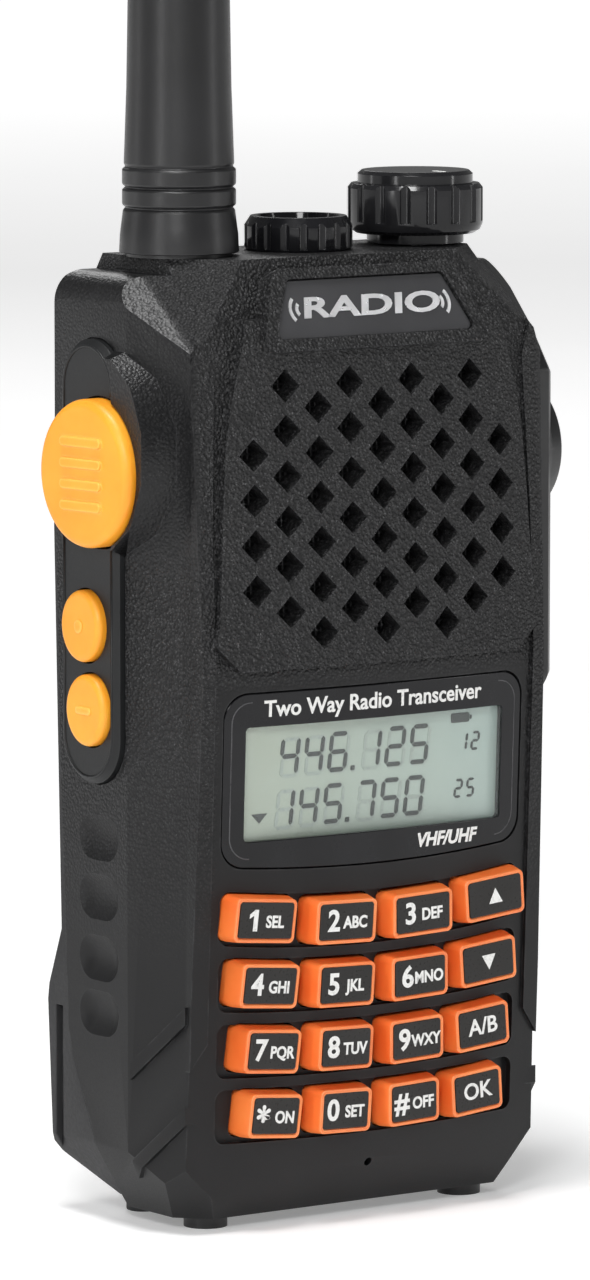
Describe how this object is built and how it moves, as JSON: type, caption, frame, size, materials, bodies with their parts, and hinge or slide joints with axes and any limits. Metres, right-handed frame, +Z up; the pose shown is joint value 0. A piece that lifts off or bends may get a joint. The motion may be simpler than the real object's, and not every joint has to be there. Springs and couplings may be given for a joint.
{
  "type": "two way radio",
  "caption": "Hand-held two way radio with whip antenna, volume knob, torch, keypad, display, push to talk button, clip-on battery and belt clip.",
  "frame": {"origin": "on the ground plane under the body, below the row of antenna, torch and volume knob, and at the centre of the bounding box's base", "axes": "+Z up along the antenna, -Y out of the front face with the keypad, +X to the right when looking at the front"},
  "size_m": [0.0634, 0.0348, 0.252],
  "materials": {
    "casing_plastic": "moulded, fine leather grain",
    "battery_plastic": "moulded, fine spark texture",
    "trim_plastic": "smooth satin",
    "badge_plastic": "satin",
    "gloss_black": "polished",
    "clear_window": "polished",
    "lcd": "satin grey green",
    "key_rubber": "satin",
    "orange_rubber": "satin",
    "black_rubber": "matte",
    "mat_silicone": "matte",
    "dome_film": "film",
    "board": "solder mask",
    "shield_metal": "plated",
    "speaker_body": "paper cone and plastic frame",
    "cast_metal": "cast, black coated",
    "brass_metal": "gold plated",
    "steel": "plated",
    "clip_plastic": "moulded satin",
    "jack_plastic": "moulded",
    "cell_wrap": "shrink wrap",
    "led": "clear"
  },
  "bodies": {
    "radio": {"accessory_jacks": "jack_plastic", "antenna_socket": "brass_metal", "battery_catch": "steel", "belt_clip_bracket": "steel", "belt_clip_pin": "steel", "belt_clip_spring": "steel", "chassis_contacts": "brass_metal", "display_bezel": "gloss_black", "display_window": "clear_window", "emblem_plate": "badge_plastic", "encoder_nut": "steel", "feet": "black_rubber", "front_casing": "casing_plastic", "keypad_mat": "mat_silicone", "lcd_panel": "lcd", "main_board": "board", "microphone": "shield_metal", "rear_chassis": "cast_metal", "rf_shield": "shield_metal", "screws": "steel", "side_switch_board": "board", "side_trim": "trim_plastic", "snap_dome_sheet": "dome_film", "speaker": "speaker_body", "speaker_mesh": "shield_metal", "torch_bezel": "gloss_black", "torch_led": "led", "torch_lens": "clear_window", "volume_encoder": "shield_metal"},
    "key_0": {"key_0": "key_rubber"},
    "key_1": {"key_1": "key_rubber"},
    "key_2": {"key_2": "key_rubber"},
    "key_3": {"key_3": "key_rubber"},
    "key_4": {"key_4": "key_rubber"},
    "key_5": {"key_5": "key_rubber"},
    "key_6": {"key_6": "key_rubber"},
    "key_7": {"key_7": "key_rubber"},
    "key_8": {"key_8": "key_rubber"},
    "key_9": {"key_9": "key_rubber"},
    "key_down": {"key_down": "key_rubber"},
    "key_hash": {"key_hash": "key_rubber"},
    "key_menu": {"key_menu": "key_rubber"},
    "key_mode": {"key_mode": "key_rubber"},
    "key_star": {"key_star": "key_rubber"},
    "key_up": {"key_up": "key_rubber"},
    "ptt_button": {"ptt_button": "orange_rubber"},
    "side_key_upper": {"side_key_upper": "orange_rubber"},
    "side_key_lower": {"side_key_lower": "orange_rubber"},
    "volume_control": {"volume_knob": "trim_plastic", "volume_shaft": "steel"},
    "antenna_lift": {"antenna_seal": "black_rubber"},
    "antenna": {"antenna_sleeve": "black_rubber", "antenna_connector": "brass_metal"},
    "jack_cover": {"jack_cover": "black_rubber"},
    "battery_pack": {"battery_front_shell": "battery_plastic", "battery_rear_shell": "battery_plastic", "battery_cells": "cell_wrap", "battery_contacts": "brass_metal"},
    "battery_latch": {"battery_latch": "trim_plastic"},
    "belt_clip": {"belt_clip": "clip_plastic"}
  },
  "joints": [
    {"name": "key_0_press", "type": "slide", "parent": "radio", "child": "key_0", "axis": [0, 0.9991, 0.042], "range_m": [0, 0.0008], "stiffness_N_per_m": 1500},
    {"name": "key_1_press", "type": "slide", "parent": "radio", "child": "key_1", "axis": [0, 0.9991, 0.042], "range_m": [0, 0.0008], "stiffness_N_per_m": 1500},
    {"name": "key_2_press", "type": "slide", "parent": "radio", "child": "key_2", "axis": [0, 0.9991, 0.042], "range_m": [0, 0.0008], "stiffness_N_per_m": 1500},
    {"name": "key_3_press", "type": "slide", "parent": "radio", "child": "key_3", "axis": [0, 0.9991, 0.042], "range_m": [0, 0.0008], "stiffness_N_per_m": 1500},
    {"name": "key_4_press", "type": "slide", "parent": "radio", "child": "key_4", "axis": [0, 0.9991, 0.042], "range_m": [0, 0.0008], "stiffness_N_per_m": 1500},
    {"name": "key_5_press", "type": "slide", "parent": "radio", "child": "key_5", "axis": [0, 0.9991, 0.042], "range_m": [0, 0.0008], "stiffness_N_per_m": 1500},
    {"name": "key_6_press", "type": "slide", "parent": "radio", "child": "key_6", "axis": [0, 0.9991, 0.042], "range_m": [0, 0.0008], "stiffness_N_per_m": 1500},
    {"name": "key_7_press", "type": "slide", "parent": "radio", "child": "key_7", "axis": [0, 0.9991, 0.042], "range_m": [0, 0.0008], "stiffness_N_per_m": 1500},
    {"name": "key_8_press", "type": "slide", "parent": "radio", "child": "key_8", "axis": [0, 0.9991, 0.042], "range_m": [0, 0.0008], "stiffness_N_per_m": 1500},
    {"name": "key_9_press", "type": "slide", "parent": "radio", "child": "key_9", "axis": [0, 0.9991, 0.042], "range_m": [0, 0.0008], "stiffness_N_per_m": 1500},
    {"name": "key_down_press", "type": "slide", "parent": "radio", "child": "key_down", "axis": [0, 0.9991, 0.042], "range_m": [0, 0.0008], "stiffness_N_per_m": 1500},
    {"name": "key_hash_press", "type": "slide", "parent": "radio", "child": "key_hash", "axis": [0, 0.9991, 0.042], "range_m": [0, 0.0008], "stiffness_N_per_m": 1500},
    {"name": "key_menu_press", "type": "slide", "parent": "radio", "child": "key_menu", "axis": [0, 0.9991, 0.042], "range_m": [0, 0.0008], "stiffness_N_per_m": 1500},
    {"name": "key_mode_press", "type": "slide", "parent": "radio", "child": "key_mode", "axis": [0, 0.9991, 0.042], "range_m": [0, 0.0008], "stiffness_N_per_m": 1500},
    {"name": "key_star_press", "type": "slide", "parent": "radio", "child": "key_star", "axis": [0, 0.9991, 0.042], "range_m": [0, 0.0008], "stiffness_N_per_m": 1500},
    {"name": "key_up_press", "type": "slide", "parent": "radio", "child": "key_up", "axis": [0, 0.9991, 0.042], "range_m": [0, 0.0008], "stiffness_N_per_m": 1500},
    {"name": "ptt_press", "type": "slide", "parent": "radio", "child": "ptt_button", "axis": [0.9946, 0.1034, 0], "range_m": [0, 0.001], "stiffness_N_per_m": 2500},
    {"name": "side_key_upper_press", "type": "slide", "parent": "radio", "child": "side_key_upper", "axis": [1, 0, 0], "range_m": [0, 0.0006], "stiffness_N_per_m": 2500},
    {"name": "side_key_lower_press", "type": "slide", "parent": "radio", "child": "side_key_lower", "axis": [1, 0, 0], "range_m": [0, 0.0006], "stiffness_N_per_m": 2500},
    {"name": "volume_turn", "type": "hinge", "parent": "radio", "child": "volume_control", "pos_m": [0.0166, 0, 0.114], "axis": [0, 0, -1], "range_deg": [0, 300]},
    {"name": "antenna_rise", "type": "slide", "parent": "radio", "child": "antenna_lift", "axis": [0, 0, 1], "range_m": [0, 0.005]},
    {"name": "antenna_turn", "type": "hinge", "parent": "antenna_lift", "child": "antenna", "pos_m": [-0.0166, 0, 0.1104], "axis": [0, 0, 1], "range_deg": [0, 2520]},
    {"name": "jack_cover_open", "type": "hinge", "parent": "radio", "child": "jack_cover", "pos_m": [0.0282, 0.008, 0.078], "axis": [0, 0, 1], "range_deg": [0, 100]},
    {"name": "battery_release", "type": "slide", "parent": "radio", "child": "battery_pack", "axis": [0, 0, -1], "range_m": [0, 0.008], "deforming": ["battery_catch"]},
    {"name": "latch_press", "type": "slide", "parent": "radio", "child": "battery_latch", "axis": [0, -1, 0], "range_m": [0, 0.0015], "stiffness_N_per_m": 800},
    {"name": "belt_clip_open", "type": "hinge", "parent": "radio", "child": "belt_clip", "pos_m": [0, 0.0146, 0.096], "axis": [1, 0, 0], "range_deg": [0, 12], "stiffness_Nm_per_rad": 1.2}
  ],
  "couplings": [
    {"joint": "antenna_rise", "follows": "antenna_turn", "m_per_rad": 0.0001123}
  ]
}
